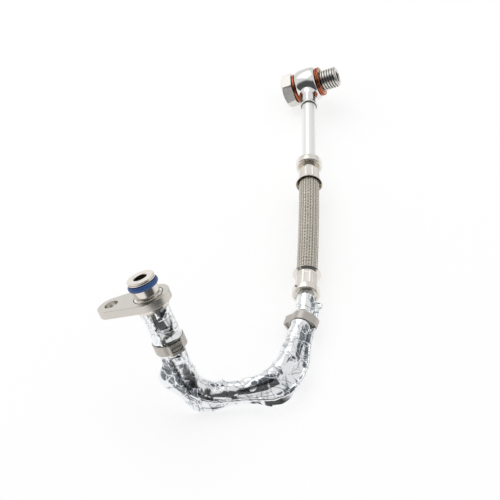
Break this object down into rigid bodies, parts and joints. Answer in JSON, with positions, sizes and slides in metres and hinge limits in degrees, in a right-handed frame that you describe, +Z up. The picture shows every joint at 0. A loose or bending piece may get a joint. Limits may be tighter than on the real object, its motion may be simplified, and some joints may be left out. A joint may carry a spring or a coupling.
{
  "type": "turbo oil feed line",
  "caption": "Bent oil feed line with a banjo bolt and eye, a short braided hose with crimps, a foil-covered tube held by ear clamps, and a flange with a sealed spigot.",
  "frame": {"origin": "middle of the footprint, on the surface the line lies on", "axes": "+Z up; +Y from the flange end towards the banjo eye, along the hose; +X to the side the banjo bolt's tip points to"},
  "size_m": [0.1224, 0.2424, 0.0659],
  "materials": {
    "plated_steel": "zinc plated, satin",
    "polished_steel": "polished",
    "bright_tube": "bright drawn",
    "copper": "bare copper",
    "crimped_steel": "plated, pressed",
    "stainless_braid": "woven wire",
    "hose_liner_rubber": "smooth",
    "aluminised_foil": "crumpled bright foil on glass fibre",
    "band_steel": "rolled stainless strip",
    "flange_steel": "satin stainless",
    "spigot_steel": "turned bright",
    "blue_rubber": "satin"
  },
  "bodies": {
    "root": {"banjo_bolt": "plated_steel", "head_washer": "copper", "tip_washer": "copper", "banjo_eye": "polished_steel", "upper_tube": "bright_tube", "upper_nipple": "crimped_steel", "upper_ferrule": "crimped_steel", "braided_hose": "stainless_braid", "hose_liner": "hose_liner_rubber", "lower_ferrule": "crimped_steel", "lower_nipple": "crimped_steel", "lower_tube": "bright_tube", "foil_sleeve": "aluminised_foil", "upper_ear_clamp": "band_steel", "lower_ear_clamp": "band_steel", "flange_plate": "flange_steel", "spigot": "spigot_steel", "o_ring": "blue_rubber"}
  },
  "joints": []
}
